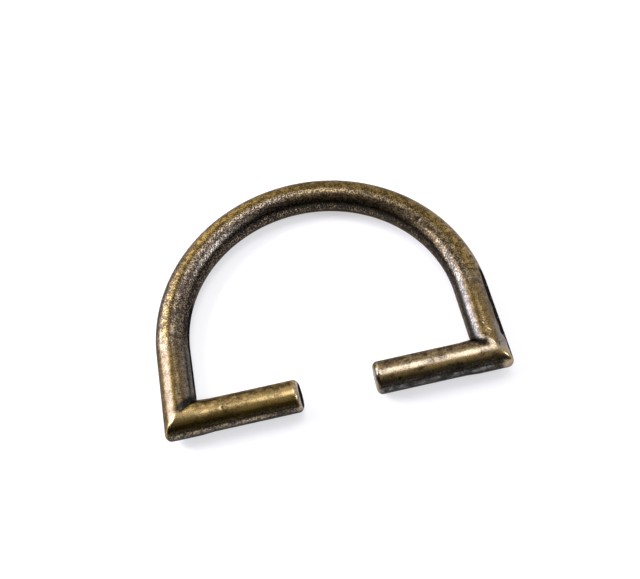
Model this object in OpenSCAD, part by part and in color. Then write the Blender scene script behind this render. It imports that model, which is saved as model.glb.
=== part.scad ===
// Open D ring: one round metal bar, bent to a half circle with two short straight legs.
// Each leg turns in at a sharp mitred corner to an arm of the base. The arms are a little
// slimmer than the bar. They point at each other and stop short, so a closed strap loop
// can be slipped on through the gap.
// The ring lies flat. The origin is under the middle of its outline, on the surface that
// it lies on. +X runs along the base, +Y from the base towards the arc, +Z up.
// All sizes are in millimetres.

/* [Ring] */
// Clear width between the legs, which is the strap width that the ring takes
inside_w = 32; // [24:0.5:60]
// Thickness of the round bar in the arc, the legs and the corners
bar_d = 4; // [3:0.1:6]
// Straight length of each leg, from the middle of the base bar to the start of the arc
leg_l = 8.8; // [6:0.1:25]
// Radius that rounds the point of each outer corner, seen from above
corner_round_r = 0.6; // [0.3:0.05:1.5]

/* [Arms] */
// Thickness of each arm of the base
arm_d = 3.8; // [2.5:0.1:6]
// Clear gap between the ends of the two arms
gap_w = 8.6; // [5:0.1:14]
// Length over which each arm swells to the bar's thickness, up to the inner corner
swell_l = 1.5; // [0.5:0.1:3]
// Radius that rounds the edge of each arm's flat end
end_round_r = 0.6; // [0.2:0.05:1.2]

/* [Hidden] */

$fn = 96;

// Radii of the bar and of an arm, and of the arc along the bar's middle
bar_r = bar_d / 2;
arm_r = arm_d / 2;
arc_r = inside_w / 2 + bar_r;

// Height of the bar's middle, and where the base and the arc's centre lie along Y
mid_z = bar_r;
base_y = -(leg_l + arc_r) / 2;
arc_y = base_y + leg_l;

// How far a leg or an arm is made past its corner before the mitre cuts it
mitre_over = bar_d;
// Places along an arm's blank, from its flat end at the gap: where it starts to swell,
// where it reaches the inner corner, and where it stops past the mitre
swell_from = inside_w / 2 - gap_w / 2 - swell_l;
inner_corner_at = swell_from + swell_l;
arm_blank_l = inner_corner_at + bar_r + mitre_over;
// Edge of the block that cuts a mitre, larger than all that it cuts
mitre_block = 3 * (arm_blank_l + leg_l);
// How far the cut that rounds a corner reaches out of the bar
cut_over = 1;

// Half a ring of the bar, open towards the base
module arc() {
    translate([0, arc_y, mid_z])
        rotate_extrude(angle = 180)
            translate([arc_r, 0])
                circle(r = bar_r);
}

// All that lies on one side of the right corner's mitre, the leg's or the arm's
module mitre_side(leg) {
    translate([arc_r, base_y, mid_z])
        rotate([0, 0, 45])
            translate([leg ? 0 : -mitre_block, -mitre_block / 2, -mitre_block / 2])
                cube(mitre_block);
}

// Straight leg, from the arc's end down to the mitre
module leg() {
    intersection() {
        translate([arc_r, arc_y, mid_z])
            rotate([90, 0, 0])
                cylinder(h = leg_l + mitre_over, r = bar_r);
        mitre_side(leg = true);
    }
}

// Outline that is spun to an arm's blank: a flat end with a rounded edge, the straight
// pin, the swell, and bar of full thickness through the corner
module arm_profile() {
    intersection() {
        translate([0, -bar_r])
            square([arm_r + bar_r, arm_blank_l + bar_r]);
        union() {
            square([arm_r - end_round_r, swell_from]);
            translate([0, end_round_r])
                square([arm_r, swell_from - end_round_r]);
            translate([arm_r - end_round_r, end_round_r])
                circle(r = end_round_r);
            polygon([
                [0, swell_from],
                [arm_r, swell_from],
                [bar_r, inner_corner_at],
                [bar_r, arm_blank_l],
                [0, arm_blank_l]
            ]);
        }
    }
}

// Arm of the base, from its end at the gap to the mitre
module arm() {
    intersection() {
        translate([gap_w / 2, base_y, mid_z])
            rotate([0, 90, 0])
                rotate_extrude()
                    arm_profile();
        mitre_side(leg = false);
    }
}

// What is taken off the right outer corner to round its point
module corner_cut() {
    translate([arc_r + bar_r - corner_round_r, base_y - bar_r + corner_round_r, -cut_over])
        linear_extrude(bar_d + 2 * cut_over)
            difference() {
                translate([0, -corner_round_r - cut_over])
                    square(corner_round_r + cut_over);
                circle(r = corner_round_r);
            }
}

// Right half of the base: a leg and an arm that meet at the mitre
module corner_half() {
    difference() {
        union() {
            leg();
            arm();
        }
        corner_cut();
    }
}

// The whole bar, which is one casting
module ring() {
    color("#6b5630") {
        arc();
        corner_half();
        mirror([1, 0, 0])
            corner_half();
    }
}

ring();
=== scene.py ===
import math

import bmesh
import bpy
from mathutils import Matrix, Vector, noise


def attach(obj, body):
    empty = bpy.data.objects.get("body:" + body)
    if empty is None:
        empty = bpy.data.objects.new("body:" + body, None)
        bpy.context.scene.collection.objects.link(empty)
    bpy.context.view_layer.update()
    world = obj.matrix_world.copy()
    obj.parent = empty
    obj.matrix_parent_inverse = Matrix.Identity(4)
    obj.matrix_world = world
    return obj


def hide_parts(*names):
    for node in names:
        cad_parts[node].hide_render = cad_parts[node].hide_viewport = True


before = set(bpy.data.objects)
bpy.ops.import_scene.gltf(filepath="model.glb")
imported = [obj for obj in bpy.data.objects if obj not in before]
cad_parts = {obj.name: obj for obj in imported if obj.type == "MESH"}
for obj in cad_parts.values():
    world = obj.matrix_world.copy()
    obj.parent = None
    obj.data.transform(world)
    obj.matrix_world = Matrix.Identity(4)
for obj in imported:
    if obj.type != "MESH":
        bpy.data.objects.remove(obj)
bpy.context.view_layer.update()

# Camera. It stands in front of the base, about 97 mm from the ring, and looks down at 60 degrees.
# It is turned a little about its own line of sight, so that the base runs up to the right.
mm = 0.001
camera_data = bpy.data.cameras.new("camera")
camera_data.sensor_width = 36.0
camera_data.lens = 45.0
camera_data.clip_start = 5 * mm
camera_data.clip_end = 100.0
camera = bpy.data.objects.new("camera", camera_data)
bpy.context.scene.collection.objects.link(camera)
camera_at = (-1.19 * mm, -48.62 * mm, 86.0 * mm)
camera_turn = math.radians(-2.05)
camera_tilt = math.radians(29.82)
camera_roll = math.radians(-10.61)
camera.matrix_world = (
    Matrix.Translation(camera_at)
    @ Matrix.Rotation(camera_turn, 4, "Z")
    @ Matrix.Rotation(camera_tilt, 4, "X")
    @ Matrix.Rotation(camera_roll, 4, "Z")
)
bpy.context.scene.camera = camera
bpy.context.scene.view_settings.view_transform = "Standard"

# Floor. A large sheet of matt white board on a light table, so that it is bright from below and
# only a faint soft shadow round the ring stays darker than paper white.
floor_half = 15.0
floor_mesh = bpy.data.meshes.new("floor")
floor_build = bmesh.new()
bmesh.ops.create_grid(floor_build, x_segments=1, y_segments=1, size=floor_half)
floor_build.to_mesh(floor_mesh)
floor_build.free()
floor = bpy.data.objects.new("floor", floor_mesh)
bpy.context.scene.collection.objects.link(floor)
board = bpy.data.materials.new("white_board")
board.use_nodes = True
board_shader = board.node_tree.nodes["Principled BSDF"]
board_shader.inputs["Base Color"].default_value = (0.514, 0.493, 0.476, 1.0)
board_shader.inputs["Emission Color"].default_value = (1.0, 0.985, 0.985, 1.0)
board_shader.inputs["Emission Strength"].default_value = 0.55
board_shader.inputs["Roughness"].default_value = 0.9
board_shader.inputs["Specular IOR Level"].default_value = 0.0
floor_mesh.materials.append(board)

# Room. It is pale at the back and on the right, and dark on the left and on the camera's side,
# which gives the bar its dark bands. Past the floor the camera sees a plain pale grey.
room = bpy.data.worlds.new("room")
bpy.context.scene.world = room
room.use_nodes = True
room_nodes = room.node_tree.nodes
room_links = room.node_tree.links
room_nodes.clear()
pale_az = math.radians(58)
pale_rise = 0.1
pale_side = Vector((math.cos(pale_az), math.sin(pale_az), pale_rise)).normalized()
room_coord = room_nodes.new("ShaderNodeTexCoord")
room_side = room_nodes.new("ShaderNodeVectorMath")
room_side.operation = "DOT_PRODUCT"
room_side.inputs[1].default_value = pale_side
room_range = room_nodes.new("ShaderNodeMapRange")
room_range.inputs["From Min"].default_value = -1.0
room_range.inputs["From Max"].default_value = 1.0
room_ramp = room_nodes.new("ShaderNodeValToRGB")
room_tones = ((0.0, 0.005), (0.29, 0.02), (0.52, 0.26), (0.75, 0.70), (1.0, 1.1))
for stop_count, (place, tone) in enumerate(room_tones):
    if stop_count < 2:
        stop = room_ramp.color_ramp.elements[stop_count]
        stop.position = place
    else:
        stop = room_ramp.color_ramp.elements.new(place)
    stop.color = (tone, tone, tone, 1.0)
room_light = room_nodes.new("ShaderNodeBackground")
room_pale = room_nodes.new("ShaderNodeBackground")
room_pale.inputs["Color"].default_value = (0.88, 0.885, 0.90, 1.0)
room_path = room_nodes.new("ShaderNodeLightPath")
room_mix = room_nodes.new("ShaderNodeMixShader")
room_out = room_nodes.new("ShaderNodeOutputWorld")
room_links.new(room_coord.outputs["Generated"], room_side.inputs[0])
room_links.new(room_side.outputs["Value"], room_range.inputs["Value"])
room_links.new(room_range.outputs["Result"], room_ramp.inputs["Fac"])
room_links.new(room_ramp.outputs["Color"], room_light.inputs["Color"])
room_links.new(room_path.outputs["Is Camera Ray"], room_mix.inputs["Fac"])
room_links.new(room_light.outputs["Background"], room_mix.inputs[1])
room_links.new(room_pale.outputs["Background"], room_mix.inputs[2])
room_links.new(room_mix.outputs["Shader"], room_out.inputs["Surface"])

# Lights. A wide cool window panel stands close by, at the left and behind, with a dimmer warm
# panel farther off beside it. A lamp hangs close overhead, a small cool panel stands at the right
# front, and a faint fill comes from above the camera.
lights = (
    ("window", 0.14, 151.0, 30.0, 40.0, 46.0, (0.82, 0.85, 1.0), 11.5),
    ("back_panel", 2.5, 116.0, 22.0, 34.0, 44.0, (1.0, 0.94, 0.60), 1.6),
    ("lamp", 0.25, 55.0, 78.0, 26.0, 31.0, (0.88, 0.91, 1.0), 4.6),
    ("side_panel", 2.5, -22.0, 37.0, 17.0, 20.0, (0.64, 0.76, 1.0), 13.0),
    ("front_fill", 2.5, -90.0, 63.0, 50.0, 30.0, (1.0, 0.95, 0.88), 0.2),
)
for light_name, away, from_az, from_el, wide, high, tint, radiance in lights:
    light_data = bpy.data.lights.new(light_name, "AREA")
    light_data.shape = "RECTANGLE"
    light_data.size = 2 * away * math.tan(math.radians(wide / 2))
    light_data.size_y = 2 * away * math.tan(math.radians(high / 2))
    light_data.energy = radiance * math.pi * light_data.size * light_data.size_y
    light_data.color = tint
    light = bpy.data.objects.new(light_name, light_data)
    bpy.context.scene.collection.objects.link(light)
    turn = math.radians(from_az)
    rise = math.radians(from_el)
    level = math.cos(rise)
    towards = Vector((math.cos(turn) * level, math.sin(turn) * level, math.sin(rise)))
    light.location = towards * away
    light.rotation_euler = (math.pi / 2 - rise, 0.0, turn + math.pi / 2)
    light.visible_camera = False

# Bar. The whole ring is one casting of 4 mm round bar: a half circle, two short legs, and two
# base arms of 3.8 mm that swell to the bar at sharp mitred corners. The arms' ends are turned over
# with a small round. One half is made, from the crown to the end of the right arm, then mirrored.
bar_r = 2.0 * mm
arm_r = 1.9 * mm
arc_r = 18.0 * mm
arc_y = -4.6 * mm
base_y = -13.4 * mm
mid_z = 2.0 * mm
around = 96
arc_steps = 176
weld = 0.002 * mm
bar = bmesh.new()
ring_start = Matrix.Translation((0, arc_y + arc_r, mid_z)) @ Matrix.Rotation(math.pi / 2, 4, "Y")
bmesh.ops.create_circle(bar, segments=around, radius=bar_r, matrix=ring_start)
swept = bmesh.ops.spin(
    bar, geom=bar.edges[:], cent=(0, arc_y, mid_z), axis=(0, 0, 1), angle=-math.pi / 2,
    steps=arc_steps,
)


def edges_of(made):
    return [part for part in made if isinstance(part, bmesh.types.BMEdge)]


def verts_of(made):
    return [part for part in made if isinstance(part, bmesh.types.BMVert)]


# The leg goes down to the mitre. Its rings lean more and more, until the last lies in the mitre.
leg_steps = 56
leg_l = arc_y - base_y
end_ring = swept["geom_last"]
arc_verts = set(bar.verts)
swept = bmesh.ops.spin(
    bar, geom=edges_of(end_ring), axis=(0, 0, 1), angle=0.0, dvec=(0, -leg_l / leg_steps, 0),
    steps=leg_steps,
)
end_ring = swept["geom_last"]
for vert in bar.verts:
    if vert not in arc_verts:
        vert.co.y -= (vert.co.x - arc_r) * (arc_y - vert.co.y) / leg_l

# The arm runs in from the mitre. Its rings straighten again, and it is slimmer past the swell.
arm_steps = 82
rim_r = 0.6 * mm
arm_end = 4.3 * mm
upright_at = 11.0 * mm
swell_in = 16.0 * mm
swell_out = 14.5 * mm
leg_verts = set(bar.verts)
arm_run = arc_r - arm_end - rim_r
swept = bmesh.ops.spin(
    bar, geom=edges_of(end_ring), axis=(0, 0, 1), angle=0.0, dvec=(-arm_run / arm_steps, 0, 0),
    steps=arm_steps,
)
end_ring = swept["geom_last"]
for vert in bar.verts:
    if vert in leg_verts:
        continue
    lean = base_y - vert.co.y
    ring_x = vert.co.x - lean
    upright = min((arc_r - ring_x) / (arc_r - upright_at), 1.0)
    vert.co.x = ring_x + lean * (1 - upright)
    slim = min(max((swell_in - vert.co.x) / (swell_in - swell_out), 0.0), 1.0)
    thin = 1 - slim * (1 - arm_r / bar_r)
    vert.co.y = base_y + (vert.co.y - base_y) * thin
    vert.co.z = mid_z + (vert.co.z - mid_z) * thin

# The end's rounded rim, then rings that close the flat end to its middle.
rim_steps = 8
cap_steps = 9
arm_axis = Vector((0, base_y, mid_z))
shapes = []
for step in range(1, rim_steps + 1):
    bend = math.pi / 2 * step / rim_steps
    shapes.append((arm_end + rim_r * (1 - math.sin(bend)), arm_r - rim_r * (1 - math.cos(bend))))
for step in range(1, cap_steps + 1):
    shapes.append((arm_end, (arm_r - rim_r) * (1 - step / cap_steps)))
for ring_x, ring_r in shapes:
    grown = bmesh.ops.extrude_edge_only(bar, edges=edges_of(end_ring))
    end_ring = grown["geom"]
    for vert in verts_of(end_ring):
        spoke = Vector((0, vert.co.y, vert.co.z)) - arm_axis
        spoke = spoke.normalized() * ring_r if ring_r > 0 else Vector((0, 0, 0))
        vert.co = Vector((ring_x, 0, 0)) + arm_axis + spoke
bmesh.ops.remove_doubles(bar, verts=bar.verts[:], dist=weld)
bmesh.ops.mirror(
    bar, geom=bar.verts[:] + bar.edges[:] + bar.faces[:], merge_dist=weld, axis="X",
)
bmesh.ops.recalc_face_normals(bar, faces=bar.faces[:])

# The outer corners are blunted by a 0.6 mm round, and the mitres' ridges are worn soft.
blunt_r = 0.6 * mm
blunt_x = arc_r + bar_r - blunt_r
blunt_y = base_y - bar_r + blunt_r
for vert in bar.verts:
    past_x = abs(vert.co.x) - blunt_x
    past_y = blunt_y - vert.co.y
    reach = math.hypot(past_x, past_y)
    if past_x > 0 and past_y > 0 and reach > blunt_r:
        vert.co.x = math.copysign(blunt_x + past_x * blunt_r / reach, vert.co.x)
        vert.co.y = blunt_y - past_y * blunt_r / reach
for soften_to in (0.55, 0.50, 0.45, 0.40, 0.34, 0.28, 0.22, 0.16):
    near_mitre = [
        vert for vert in bar.verts
        if abs(abs(vert.co.x) - arc_r + vert.co.y - base_y) < soften_to * mm * math.sqrt(2)
        and vert.co.y < arc_y
    ]
    bmesh.ops.smooth_vert(
        bar, verts=near_mitre, factor=0.5, use_axis_x=True, use_axis_y=True, use_axis_z=True,
    )

# The left arm's flat end isn't square to the arm. It leans back a little.
end_reach = 1.5 * mm
end_slack = 0.1 * mm
end_back = 0.08 * mm
end_lean = 0.09
for vert in bar.verts:
    from_end = -vert.co.x - arm_end
    if -end_slack < from_end < end_reach and vert.co.y < arc_y:
        share = 1 - max(from_end, 0.0) / end_reach
        vert.co.x += share * (end_back - end_lean * (vert.co.z - mid_z))

# The casting isn't quite even. It has low waves, a fine skin and a few small pits, all sunk into
# the bar. The line where the mould parted stands a hair proud, halfway up the bar.
wave_deep = 0.012 * mm
wave_per_mm = 0.8
skin_deep = 0.006 * mm
skin_per_mm = 2.6
skin_shift = Vector((7, 3, 5))
parting_high = 0.02 * mm
# Place, radius and depth of each pit, in mm.
pits = (
    ((14.15, 5.21, 3.84), 0.36, 0.09),
    ((-13.01, -13.53, 3.90), 0.22, 0.06),
    ((-17.58, -10.87, 3.96), 0.30, 0.04),
    ((6.90, -14.60, 3.40), 0.20, 0.05),
    ((-15.20, 6.30, 3.60), 0.18, 0.05),
    ((10.40, -12.60, 3.70), 0.16, 0.04),
)


# Rises smoothly from 0 at the low value to 1 at the high one.
def ease(value, low, high):
    share = min(max((value - low) / (high - low), 0.0), 1.0)
    return share * share * (3 - 2 * share)


bar.normal_update()
sunk = {}
for vert in bar.verts:
    spot = vert.co / mm
    sink = wave_deep * (0.5 + 0.5 * noise.noise(spot * wave_per_mm))
    sink += skin_deep * (0.5 + 0.5 * noise.noise(spot * skin_per_mm + skin_shift))
    for pit_at, pit_r, pit_deep in pits:
        off = (spot - Vector(pit_at)).length / pit_r
        if off < 2:
            sink += pit_deep * mm * math.exp(-off * off * 2)
    on_arm_front = spot.y < -15 and abs(spot.x) < 17.5
    parting_lean = 0.2 if on_arm_front else 0.03
    on_arm_end = spot.y < -11 and abs(spot.x) < 4.9
    if not on_arm_end:
        sink -= parting_high * (1 - ease(abs(vert.normal.z - parting_lean), 0.03, 0.12))
    sunk[vert] = vert.co - vert.normal * sink
for vert, sunk_to in sunk.items():
    vert.co = sunk_to

# Where the finish is rubbed through to brass, and where the dark tarnish is thick, goes by the
# place on the bar, in mm, and by the way its surface leans. The tops are rubbed, and some are
# made brighter still as painted highlight. The inner corners keep their tarnish, and the low
# flanks are darker, partly from tarnish and partly as painted shade of the dark reflections there.
bar.normal_update()
rubbed_and_highlight = bar.verts.layers.float.new("rubbed_and_highlight")
tarnish_and_shade = bar.verts.layers.float.new("tarnish_and_shade")
gritty = bar.verts.layers.float.new("gritty")
blotchy = bar.verts.layers.float.new("blotchy")
golden = bar.verts.layers.float.new("golden")
polish_and_highlight = bar.verts.layers.float.new("polish_and_highlight")
greyed = bar.verts.layers.float.new("greyed")
painted_dark = bar.verts.layers.float.new("painted_dark")
mitre_at = (arc_r + base_y) / mm
left_crook = (Vector((-15.9, -11.3)), Vector((-17.6, -12.6)))
right_crook = (Vector((15.6, -11.3)), Vector((17.0, -12.6)))
ridge_shade_at = Vector((18.2, -14.9, 3.1))


# Distance from a spot to the line between two others.
def near_line(spot, first, last):
    run = last - first
    share = min(max((spot - first).dot(run) / run.length_squared, 0.0), 1.0)
    return (spot - first - run * share).length


for vert in bar.verts:
    spot = vert.co / mm
    x, y, z = spot
    lean_x, lean_y, lean_z = vert.normal

    # Which part of the bar the spot is on, and how far it faces out of the ring.
    on_left = ease(-x, -2.0, 4.0)
    on_right = 1 - on_left
    past_mitre = (abs(x) + y - mitre_at) / math.sqrt(2)
    on_arm = 1 - ease(past_mitre - 0.5 * ease(lean_z, 0.75, 0.95), -0.25, 0.25)
    left_arm = on_arm * on_left
    right_arm = on_arm * on_right
    below_arc = ease(arc_y / mm - y, -3.0, 2.0)
    on_leg = below_arc * (1 - on_arm)
    left_leg = on_leg * on_left
    right_leg = on_leg * on_right
    on_arc = 1 - below_arc
    from_middle = Vector((x, max(y - arc_y / mm, 0.0), 0)).normalized()
    outward = from_middle.dot(Vector((lean_x, lean_y, 0)))

    # The arc, from its crest to its flanks.
    outer_crest = ease(lean_z, 0.84, 0.97) * (1 - ease(-outward, 0.02, 0.25)) * on_arc
    # Painted shade: the crest line is darkened to dim the highlight beside the gold band.
    crest_line = on_arc * (1 - ease(abs(outward), 0.04, 0.16))
    inner_crest = on_arc * ease(y, 5.0, 9.0) * ease(-outward, 0.1, 0.2)
    inner_crest *= 1 - ease(-outward, 0.3, 0.4)
    # Painted shade: the right shoulder is darkened to dim the lamp's highlight on it.
    right_shoulder = ease(x, 4.0, 10.0) * on_arc * ease(lean_z, 0.5, 0.8)
    right_shoulder *= 1 - ease(outward, 0.0, 0.3)
    left_shoulder = ease(-x, -3.0, 3.0) * ease(y, -4.0, 1.0) * ease(-outward, 0.0, 0.2)
    # Painted shade: the foot of the left arc is darkened to dim the window's highlight on it.
    left_foot = ease(-x, 13.5, 15.5) * ease(y, -4.0, -1.0) * ease(outward, -0.4, 0.0)
    # Painted highlight: the right arc's outer edge is made brighter.
    right_edge = ease(x, 9.0, 14.0) * on_arc * ease(outward, 0.5, 0.7)
    back_side = on_arc * ease(outward, 0.5, 0.8) * (1 - ease(lean_z, 0.1, 0.35))
    parting = on_arc * (1 - ease(abs(lean_z - 0.03), 0.05, 0.14)) * ease(-outward, 0.5, 0.8)
    parting *= 1 - 0.5 * ease(y, 9.0, 12.0)

    # The legs, and the foot of the arc above the right one.
    foot_flank = ease(x, 15.0, 17.5) * (on_leg + on_arc)
    foot_inner = foot_flank * ease(-outward, 0.45, 0.6)
    # Painted highlight: the outer flank by the right corner is made brighter.
    foot_edge = foot_flank * ease(-y, 9.5, 12.0) * ease(outward, 0.3, 0.5) * ease(lean_z, 0.0, 0.2)
    leg_fade = foot_flank * ease(-outward, 0.40, 0.46) * (1 - ease(-outward, 0.48, 0.62))
    # Painted highlight: the left leg's outer flank is made brighter where the window's highlight
    # falls.
    painted_leg_highlight = left_leg * ease(outward, 0.05, 0.2) * (1 - ease(outward, 0.5, 0.65))
    # Painted highlight: the right leg's outer side is made brighter.
    leg_side = (right_leg + on_arc * ease(x, 15.0, 17.5)) * ease(outward, 0.05, 0.25)
    leg_side *= ease(lean_z, 0.05, 0.25)
    leg_flank = left_leg * ease(-outward, 0.35, 0.55) * ease(lean_z, 0.1, 0.3)
    # Painted shade: the left leg's crest is darkened to dim the lamp's highlight there.
    leg_crest = on_leg * ease(lean_z, 0.80, 0.93)
    leg_crest *= 1 - ease(outward, 0.05, 0.35 - 0.10 * on_left)
    leg_line = left_leg * ease(-outward, 0.3, 0.5) * (1 - ease(abs(lean_z - 0.58), 0.04, 0.14))

    # The corners: the right one's tip, the worn ridges, the dark crooks, and a dark spot of painted
    # shade below the right corner's ridge, where the arm's dark reflection ends.
    # Painted highlight: the right corner's tip is made brighter and paler.
    tip = ease(x, 18.3, 19.1) * ease(-y, 13.5, 14.3)
    outer_ridge = ease(-y, 12.6, 13.6) * (1 - ease(abs(past_mitre), 0.15, 0.55))
    off_crook = near_line(spot.xy, *(left_crook if x < 0 else right_crook))
    crook = (1 - ease(off_crook, 0.25, 0.75)) * ease(z, 1.5, 2.5)
    # Painted shade: a dark spot below the right corner's ridge.
    ridge_shade = 1 - ease((spot - ridge_shade_at).length, 0.15, 0.6)

    # The arms, from their roots at the corners to the rims and edges of their flat ends.
    # The arms' tops are partly rubbed brass and partly painted highlight, brighter where the lamp's
    # highlight falls.
    arm_top = on_arm * ease(-lean_y, -0.45, 0.0) * (1 - ease(-lean_y, 0.60, 1.0))
    arm_top *= ease(lean_z, 0.0, 0.3)
    arm_top *= 1 - 0.15 * on_right
    arm_crest = on_arm * (1 - ease(abs(lean_y + 0.16), 0.04, 0.12))
    # Painted shade: the front of the left arm's root is darkened.
    left_root = on_arm * ease(-x, 10.5, 13.0) * ease(-lean_y, 0.26, 0.45)
    rim = (1 - ease(abs(abs(x) - 4.75), 0.1, 0.35)) * on_arm
    # The end rims are partly worn bare and partly painted highlight.
    end_edge = ease(abs(lean_x), 0.45, 0.75) * on_arm
    # Painted shade: the right arm's end rim is darkened to dim the window's highlight on it.
    right_rim = right_arm * ease(-lean_x, 0.2, 0.5) * (1 - ease(-lean_x, 0.72, 0.88))
    right_rim *= ease(lean_z, 0.1, 0.3)

    # The seam is a paler band halfway up the flanks, in the dark low band below the tops.
    seam_high = 0.24 + 0.12 * on_arm
    seam_low = -0.45 + 0.35 * on_arm
    seam = (1 - ease(lean_z, seam_high, seam_high + 0.13)) * ease(lean_z, seam_low, seam_low + 0.22)
    seam *= 1 - on_arm * ease(noise.noise(spot * 0.9), -0.1, 0.4) * 0.7
    # Painted shade: the low flanks are darkened, partly as tarnish and partly for the dark
    # reflections there.
    low_band = 1 - ease(lean_z, 0.50, 0.74)
    low_band *= 1 - left_leg * 0.7 - on_leg * 0.2 * ease(outward, 0.0, 0.4)
    low_band *= (1 - 0.4 * back_side) * (1 - 0.85 * tip)
    low_band *= (1 - leg_side * 0.8) * (1 - right_leg * 0.2)
    pitted = 0.0
    for pit_at, pit_r, _ in pits:
        pitted = max(pitted, 1 - ease((spot - Vector(pit_at)).length / pit_r, 0.4, 0.9))

    # Rubbed through to brass, in streaks along the arms. Partly this is painted highlight: the
    # arms' tops, the left leg's outer flank, the right leg's outer side, the right arc's outer
    # edge, the outer flank by the right corner, the right corner's tip and the arms' end rims are
    # made brighter where the lamps' highlights fall on them.
    rub_and_highlight = 0.9 * arm_top + 0.15 * leg_flank + 0.09 * outer_crest + 0.7 * outer_ridge + 0.6 * rim
    rub_and_highlight += 0.12 * painted_leg_highlight + 0.28 * leg_side + 0.8 * end_edge + 0.9 * tip
    rub_and_highlight += (0.08 + 0.42 * left_arm) * seam + 0.2 * right_edge
    rub_and_highlight += 0.35 * foot_edge + 0.25 * parting + 0.08 * inner_crest
    streak = noise.noise(Vector((x * 0.5, y * 1.7, z * 1.7)))
    rub_and_highlight += (0.9 - 0.2 * on_left) * streak * on_arm * (1 - end_edge) * (1 - tip)
    vert[rubbed_and_highlight] = min(max(rub_and_highlight, 0.0), 1.0)

    # Thick dark tarnish in the crooks, the pits and a few flank lines, and painted shade: part of
    # the low flanks, the right shoulder, the foot of the left arc, the crest lines, the left leg's
    # crest, the right arm's end rim, the left arm's root, spots on the arms' crests and a spot
    # below the right corner's ridge are darkened to dim reflections and highlights there.
    worn_seam = seam * (0.75 - 0.65 * on_arc - 0.15 * right_arm) + 0.5 * parting
    # Painted shade: spots on the arms' crests are darkened to dim the lamp's highlight.
    arm_painted_shade = 0.25 * ease(-x, 7.5, 10.0) + 0.25 * ease(x, 3.0, 5.0) * (1 - ease(x, 7.5, 9.0))
    vert[tarnish_and_shade] = max(
        0.95 * low_band * (1 - worn_seam) * (1 - end_edge),
        0.95 * crook,
        0.4 * right_shoulder,
        0.25 * left_shoulder,
        0.5 * left_foot,
        0.2 * leg_crest * on_left,
        0.7 * leg_line,
        0.22 * crest_line,
        0.38 * leg_fade,
        0.72 * right_rim,
        0.4 * left_root,
        arm_painted_shade * arm_crest,
        0.8 * ridge_shade,
        0.9 * pitted,
    )

    # How strongly the fine grains and the clouds break it up.
    grit = 1.1 + 0.7 * left_shoulder - 0.55 * on_arm - 0.65 * on_leg
    grit += (0.5 + 0.5 * left_arm - 0.6 * right_arm) * seam
    grit += 0.6 * inner_crest - 0.12 * painted_leg_highlight - 0.9 * back_side
    vert[gritty] = grit
    vert[blotchy] = (2.3 - 1.0 * back_side) * on_arc + 0.9 * on_leg + 1.9 * on_arm

    # Golden rather than grey brass and brown.
    if x < 0:
        leg_warm = 0.60 + 0.40 * (1 - ease(abs(outward), 0.05, 0.14))
        leg_warm *= ease(outward, -0.58, -0.42)
        leg_warm *= 1 - 0.6 * ease(outward, 0.12, 0.25) * (1 - ease(outward, 0.5, 0.6))
    else:
        leg_warm = 0.8 * ease(outward, -0.62, -0.40) * (1 - 0.9 * ease(outward, 0.15, 0.45))
    arm_warm = 0.45 + 0.25 * on_left + 0.35 * ease(-lean_y, 0.2, 0.45)
    vert[golden] = max(
        on_arm * arm_warm * ease(lean_z, 0.1, 0.45) * (1 - end_edge),
        on_leg * leg_warm,
        0.9 * outer_crest,
        0.5 * on_arc * on_right * ease(lean_z, 0.4, 0.6),
        outer_ridge,
        0.4 * tip,
        0.5 * back_side,
        0.6 * end_edge * on_right * ease(-lean_x, 0.8, 0.95),
        on_arc * (0.15 + 0.15 * ease(-outward, 0.7, 0.9) * ease(x, -6.0, 2.0)),
    )

    # Polished bare by wear, and drained of colour. The arms' end rims and the right corner's tip
    # are also made paler as painted highlight.
    vert[polish_and_highlight] = max((0.3 + 0.5 * on_left) * end_edge, 0.4 * rim, 0.4 * outer_ridge, 0.4 * tip)
    arm_low = ease(lean_y, -0.30, -0.18) * (1 - ease(lean_y, 0.05, 0.15))
    vert[greyed] = max(
        0.6 * foot_inner,
        0.55 * foot_edge * (1 - tip),
        0.6 * ease(x, 8.0, 14.0) * (on_arc + on_leg) * ease(outward, 0.6, 0.85),
        (0.85 - 0.5 * on_left) * on_arm * ease(-lean_y, 0.75, 0.92) * (1 - ease(x, 17.0, 18.5)),
        0.5 * left_leg * ease(-outward, 0.65, 0.8),
        0.28 * right_arm * ease(-lean_y, 0.55, 0.68),
        0.25 * right_arm * arm_low,
    )

    # Painted dark reflection and shade, matt black: on the left arm's flat end and in a ragged
    # strip along the outside of the right leg, which face the dark side of the room, and low on the
    # inside of the left leg, where the floor beside the bar is shaded. Both strips end before the
    # arc.
    ragged = lean_z + 0.04 * noise.noise(spot * 1.2)
    low_ragged = lean_z + 0.16 * noise.noise(spot * 1.4)
    end_dark = left_arm * ease(lean_x, 0.93, 0.975) * ease(x, -4.9, -4.7)
    strip_top = 0.55 + 0.21 * ease(y, -12.8, -11.8)
    strip = ease(x, 16.5, 17.5) * ease(lean_x, 0.25, 0.35) * ease(low_ragged, 0.0, 0.16)
    strip *= 1 - ease(ragged, strip_top - 0.05, strip_top + 0.05)
    strip *= 1 - max(ease(y, -4.9, -1.2), ease(-y, 14.2, 15.4))
    inside = ease(-x, 13.5, 14.5) * ease(y, -11.5, -11.1) * ease(lean_x, 0.25, 0.35)
    inside *= ease(low_ragged, -0.38, -0.22) * (1 - ease(ragged, 0.23, 0.33))
    inside *= 1 - ease(y, -1.5, 3.5)
    vert[painted_dark] = max(end_dark, strip, inside)

bar_mesh = bpy.data.meshes.new("cast_bar")
bar.to_mesh(bar_mesh)
bar.free()
for polygon in bar_mesh.polygons:
    polygon.use_smooth = True
cast_bar = bpy.data.objects.new("cast_bar", bar_mesh)
bpy.context.scene.collection.objects.link(cast_bar)

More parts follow.
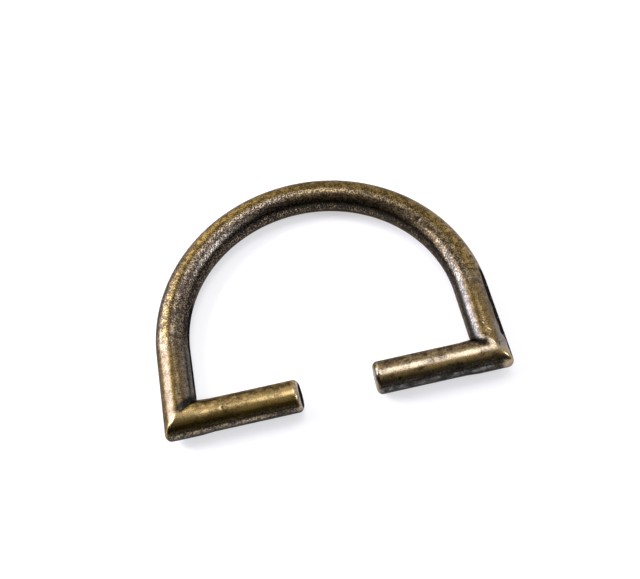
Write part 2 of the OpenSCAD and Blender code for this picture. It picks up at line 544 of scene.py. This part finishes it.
# Antique brass under a thin lacquer. Dull brass shows through a dark brown tarnish in clouds and
# in fine grains, more of it where the bar is rubbed and where highlights are painted brighter.
# The left arm is the most golden.
metal = bpy.data.materials.new("antique_brass")
metal.use_nodes = True
metal_nodes = metal.node_tree.nodes
metal_links = metal.node_tree.links
metal_shader = metal_nodes["Principled BSDF"]
metal_shader.inputs["Specular IOR Level"].default_value = 0.0
metal_shader.inputs["Specular Tint"].default_value = (0.45, 0.42, 0.38, 1.0)
metal_shader.inputs["Coat Roughness"].default_value = 0.22
metal_place = metal_nodes.new("ShaderNodeTexCoord")


def metal_math(operation, first, second, clamp=False):
    step = metal_nodes.new("ShaderNodeMath")
    step.operation = operation
    step.use_clamp = clamp
    for socket, value in zip(step.inputs, (first, second)):
        if isinstance(value, (int, float)):
            socket.default_value = value
        else:
            metal_links.new(value, socket)
    return step.outputs["Value"]


def metal_noise(per_metre, detail, rough):
    grains = metal_nodes.new("ShaderNodeTexNoise")
    grains.inputs["Scale"].default_value = per_metre
    grains.inputs["Detail"].default_value = detail
    grains.inputs["Roughness"].default_value = rough
    metal_links.new(metal_place.outputs["Object"], grains.inputs["Vector"])
    return metal_math("SUBTRACT", grains.outputs["Fac"], 0.5)


def metal_distance(spot):
    away = metal_nodes.new("ShaderNodeVectorMath")
    away.operation = "DISTANCE"
    metal_links.new(metal_place.outputs["Object"], away.inputs[0])
    away.inputs[1].default_value = Vector(spot) * mm
    return away.outputs["Value"]


def metal_mask(layer):
    mask = metal_nodes.new("ShaderNodeAttribute")
    mask.attribute_name = layer
    return mask.outputs["Fac"]


def metal_colours(fac, first, second):
    blend = metal_nodes.new("ShaderNodeMix")
    blend.data_type = "RGBA"
    metal_links.new(fac, blend.inputs["Factor"])
    for socket, value in ((blend.inputs[6], first), (blend.inputs[7], second)):
        if isinstance(value, tuple):
            socket.default_value = (*value, 1.0)
        else:
            metal_links.new(value, socket)
    return blend.outputs[2]


grain = metal_noise(per_metre=5800, detail=2.0, rough=0.55)
cloud = metal_noise(per_metre=1300, detail=3.0, rough=0.6)
rubbed_and_highlight_mask = metal_mask("rubbed_and_highlight")
tarnish_and_shade_mask = metal_mask("tarnish_and_shade")
gritty_mask = metal_mask("gritty")
blotchy_mask = metal_mask("blotchy")
golden_mask = metal_mask("golden")
polish_and_highlight_mask = metal_mask("polish_and_highlight")
greyed_mask = metal_mask("greyed")
painted_dark_mask = metal_mask("painted_dark")

# Brass or brown tarnish, grain by grain.
brass_least = 0.16
rub_and_highlight_strength = 0.8
grain_strength = 3.3
grey_brass = (0.33, 0.256, 0.188)
gold_brass = (0.38, 0.248, 0.062)
bare_and_highlight_brass = (0.48, 0.42, 0.38)
grey_brown = (0.047, 0.034, 0.025)
gold_brown = (0.053, 0.031, 0.008)
grain_part = metal_math("MULTIPLY", grain, metal_math("MULTIPLY", gritty_mask, grain_strength))
cloud_part = metal_math("MULTIPLY", cloud, blotchy_mask)
uneven = metal_math("ADD", grain_part, cloud_part)
rub_and_highlight_part = metal_math("MULTIPLY", rubbed_and_highlight_mask, rub_and_highlight_strength)
brass_share = metal_math("ADD", metal_math("ADD", rub_and_highlight_part, brass_least), uneven, clamp=True)
dull_brass = metal_colours(golden_mask, grey_brass, gold_brass)
bare_and_highlight_share = metal_math("MULTIPLY", polish_and_highlight_mask, polish_and_highlight_mask)
brass = metal_colours(bare_and_highlight_share, dull_brass, bare_and_highlight_brass)
brown = metal_colours(golden_mask, grey_brown, gold_brown)
brass_or_brown = metal_colours(brass_share, brown, brass)

# Thick tarnish and painted shade over both, then less colour where the bar is greyed.
dark_strength = 1.1
dark_breaks = 1.8
tarnish_and_shade_black = (0.008, 0.0065, 0.005)
dark_gaps = metal_math("MULTIPLY", grain, metal_math("MULTIPLY", gritty_mask, dark_breaks))
dark_grain = metal_math("SUBTRACT", dark_strength, dark_gaps)
dark_share = metal_math("MULTIPLY", tarnish_and_shade_mask, dark_grain, clamp=True)
tarnished_and_shaded_colour = metal_colours(dark_share, brass_or_brown, tarnish_and_shade_black)
greyer = metal_nodes.new("ShaderNodeHueSaturation")
metal_links.new(metal_math("SUBTRACT", 1.0, greyed_mask), greyer.inputs["Saturation"])
metal_links.new(tarnished_and_shaded_colour, greyer.inputs["Color"])

# Three fine bright scratches cross the crest near the right corner.
scratches = (
    ((17.55, -10.20, 3.97), (17.74, -10.50, 3.98)),
    ((17.88, -11.10, 4.00), (18.30, -11.52, 3.97)),
    ((17.98, -12.75, 4.00), (18.26, -13.20, 3.98)),
)
scratch_wide = 0.09 * mm
scratch_fades = 1.3
scratch_bright = (0.66, 0.55, 0.40)
scratched = 0.0
for first, last in scratches:
    scratch_l = (Vector(last) - Vector(first)).length * mm
    slack = scratch_wide ** 2 / (2 * scratch_l)
    both_ends = metal_math("ADD", metal_distance(first), metal_distance(last))
    detour = metal_math("SUBTRACT", both_ends, scratch_l)
    off_scratch = metal_math("DIVIDE", detour, slack)
    scratch = metal_math("SUBTRACT", scratch_fades, off_scratch, clamp=True)
    scratched = metal_math("MAXIMUM", scratch, scratched)
scratched_colour = metal_colours(scratched, greyer.outputs["Color"], scratch_bright)

# The painted black is matt and breaks up in flakes. A few pale specks of painted glint stand in
# it on the right leg.
dark_patch_strength = 4.0
dark_patch_breaks = 3.0
dark_patch_least = 1.5
dark_patch_black = (0.004, 0.004, 0.004)
dark_patch_grey = (0.022, 0.019, 0.017)
glint_spots = ((19.70, -5.4, 3.15), (19.74, -7.1, 3.05), (19.70, -9.8, 3.15), (19.70, -12.0, 3.15))
glint_r = 0.09 * mm
glint_fades = 1.5
glint_pale = (0.30, 0.29, 0.28)
flaky = metal_math("SUBTRACT", metal_math("MULTIPLY", cloud, dark_patch_breaks), dark_patch_least)
dark_patch_cover = metal_math("MULTIPLY", painted_dark_mask, dark_patch_strength)
dark_patch_share = metal_math("ADD", dark_patch_cover, flaky, clamp=True)
dark_patch_dust = metal_math("ADD", metal_math("MULTIPLY", grain, 2.0), 0.3, clamp=True)
dark_patch_colour = metal_colours(dark_patch_dust, dark_patch_black, dark_patch_grey)
for glint_at in glint_spots:
    off_glint = metal_math("DIVIDE", metal_distance(glint_at), glint_r)
    glint = metal_math("SUBTRACT", glint_fades, off_glint, clamp=True)
    dark_patch_colour = metal_colours(glint, dark_patch_colour, glint_pale)
metal_colour = metal_colours(dark_patch_share, scratched_colour, dark_patch_colour)
outside_dark_patch = metal_math("SUBTRACT", 1.0, dark_patch_share)

# Brass is smoother than tarnish, and the painted black is rough and has no lacquer.
tarnish_rough = 0.35
brass_smoother = 0.09
polish_smoother = 0.07
dark_patch_rougher = 0.5
lacquer = 0.14
grain_high = 0.012 * mm
brass_smooth = metal_math("MULTIPLY", brass_share, brass_smoother)
worn_rough = metal_math("SUBTRACT", tarnish_rough, brass_smooth)
polish_smooth = metal_math("MULTIPLY", polish_and_highlight_mask, polish_smoother)
polished_rough = metal_math("SUBTRACT", worn_rough, polish_smooth)
dark_patch_rough = metal_math("MULTIPLY", dark_patch_share, dark_patch_rougher)
metal_rough = metal_math("ADD", polished_rough, dark_patch_rough)
metal_bump = metal_nodes.new("ShaderNodeBump")
metal_bump.inputs["Distance"].default_value = grain_high
metal_links.new(grain, metal_bump.inputs["Height"])
metal_links.new(gritty_mask, metal_bump.inputs["Strength"])
metal_links.new(metal_colour, metal_shader.inputs["Base Color"])
metal_links.new(outside_dark_patch, metal_shader.inputs["Metallic"])
metal_links.new(metal_math("MULTIPLY", outside_dark_patch, lacquer), metal_shader.inputs["Coat Weight"])
metal_links.new(metal_rough, metal_shader.inputs["Roughness"])
metal_links.new(metal_bump.outputs["Normal"], metal_shader.inputs["Normal"])
metal_links.new(metal_bump.outputs["Normal"], metal_shader.inputs["Coat Normal"])
bar_mesh.materials.append(metal)

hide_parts("ring")
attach(cast_bar, "root")
